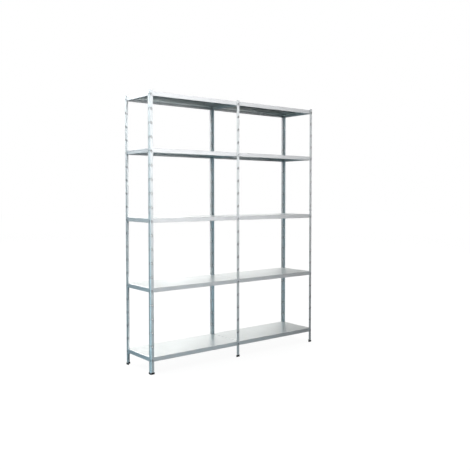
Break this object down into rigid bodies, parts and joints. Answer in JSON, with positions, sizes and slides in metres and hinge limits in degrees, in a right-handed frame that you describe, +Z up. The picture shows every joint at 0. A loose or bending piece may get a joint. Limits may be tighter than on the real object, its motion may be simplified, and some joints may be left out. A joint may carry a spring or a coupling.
{
  "type": "boltless steel shelving",
  "caption": "Two-bay boltless steel shelving with slotted angle uprights, hooked beams, loose steel decks and small plastic feet.",
  "frame": {"origin": "on the floor, at the centre of the footprint", "axes": "+X along the two bays to the second bay, -Y to the front, +Z up"},
  "size_m": [2.037, 0.457, 2.54],
  "materials": {
    "upright_steel": "galvanised, satin, faint spangle",
    "beam_steel": "galvanised, satin, faint spangle",
    "deck_steel": "galvanised sheet, satin",
    "foot_plastic": "moulded black, fine grain"
  },
  "bodies": {
    "frame": {"upright_front_left": "upright_steel", "upright_front_middle": "upright_steel", "upright_front_right": "upright_steel", "upright_rear_left": "upright_steel", "upright_rear_middle": "upright_steel", "upright_rear_right": "upright_steel", "foot_front_left": "foot_plastic", "foot_front_middle": "foot_plastic", "foot_front_right": "foot_plastic", "foot_rear_left": "foot_plastic", "foot_rear_middle": "foot_plastic", "foot_rear_right": "foot_plastic", "long_beam_front_left_1": "beam_steel", "long_beam_front_left_2": "beam_steel", "long_beam_front_left_3": "beam_steel", "long_beam_front_left_4": "beam_steel", "long_beam_front_left_5": "beam_steel", "long_beam_front_right_1": "beam_steel", "long_beam_front_right_2": "beam_steel", "long_beam_front_right_3": "beam_steel", "long_beam_front_right_4": "beam_steel", "long_beam_front_right_5": "beam_steel", "long_beam_rear_left_1": "beam_steel", "long_beam_rear_left_2": "beam_steel", "long_beam_rear_left_3": "beam_steel", "long_beam_rear_left_4": "beam_steel", "long_beam_rear_left_5": "beam_steel", "long_beam_rear_right_1": "beam_steel", "long_beam_rear_right_2": "beam_steel", "long_beam_rear_right_3": "beam_steel", "long_beam_rear_right_4": "beam_steel", "long_beam_rear_right_5": "beam_steel", "cross_beam_left_1": "beam_steel", "cross_beam_left_2": "beam_steel", "cross_beam_left_3": "beam_steel", "cross_beam_left_4": "beam_steel", "cross_beam_left_5": "beam_steel", "cross_beam_middle_1": "beam_steel", "cross_beam_middle_2": "beam_steel", "cross_beam_middle_3": "beam_steel", "cross_beam_middle_4": "beam_steel", "cross_beam_middle_5": "beam_steel", "cross_beam_right_1": "beam_steel", "cross_beam_right_2": "beam_steel", "cross_beam_right_3": "beam_steel", "cross_beam_right_4": "beam_steel", "cross_beam_right_5": "beam_steel"},
    "deck_left_1": {"deck_left_1": "deck_steel"},
    "deck_left_2": {"deck_left_2": "deck_steel"},
    "deck_left_3": {"deck_left_3": "deck_steel"},
    "deck_left_4": {"deck_left_4": "deck_steel"},
    "deck_left_5": {"deck_left_5": "deck_steel"},
    "deck_right_1": {"deck_right_1": "deck_steel"},
    "deck_right_2": {"deck_right_2": "deck_steel"},
    "deck_right_3": {"deck_right_3": "deck_steel"},
    "deck_right_4": {"deck_right_4": "deck_steel"},
    "deck_right_5": {"deck_right_5": "deck_steel"}
  },
  "joints": [
    {"name": "deck_left_1_lift", "type": "slide", "parent": "frame", "child": "deck_left_1", "axis": [0, 0, 1], "range_m": [0, 0.02]},
    {"name": "deck_left_2_lift", "type": "slide", "parent": "frame", "child": "deck_left_2", "axis": [0, 0, 1], "range_m": [0, 0.02]},
    {"name": "deck_left_3_lift", "type": "slide", "parent": "frame", "child": "deck_left_3", "axis": [0, 0, 1], "range_m": [0, 0.02]},
    {"name": "deck_left_4_lift", "type": "slide", "parent": "frame", "child": "deck_left_4", "axis": [0, 0, 1], "range_m": [0, 0.02]},
    {"name": "deck_left_5_lift", "type": "slide", "parent": "frame", "child": "deck_left_5", "axis": [0, 0, 1], "range_m": [0, 0.02]},
    {"name": "deck_right_1_lift", "type": "slide", "parent": "frame", "child": "deck_right_1", "axis": [0, 0, 1], "range_m": [0, 0.02]},
    {"name": "deck_right_2_lift", "type": "slide", "parent": "frame", "child": "deck_right_2", "axis": [0, 0, 1], "range_m": [0, 0.02]},
    {"name": "deck_right_3_lift", "type": "slide", "parent": "frame", "child": "deck_right_3", "axis": [0, 0, 1], "range_m": [0, 0.02]},
    {"name": "deck_right_4_lift", "type": "slide", "parent": "frame", "child": "deck_right_4", "axis": [0, 0, 1], "range_m": [0, 0.02]},
    {"name": "deck_right_5_lift", "type": "slide", "parent": "frame", "child": "deck_right_5", "axis": [0, 0, 1], "range_m": [0, 0.02]}
  ]
}
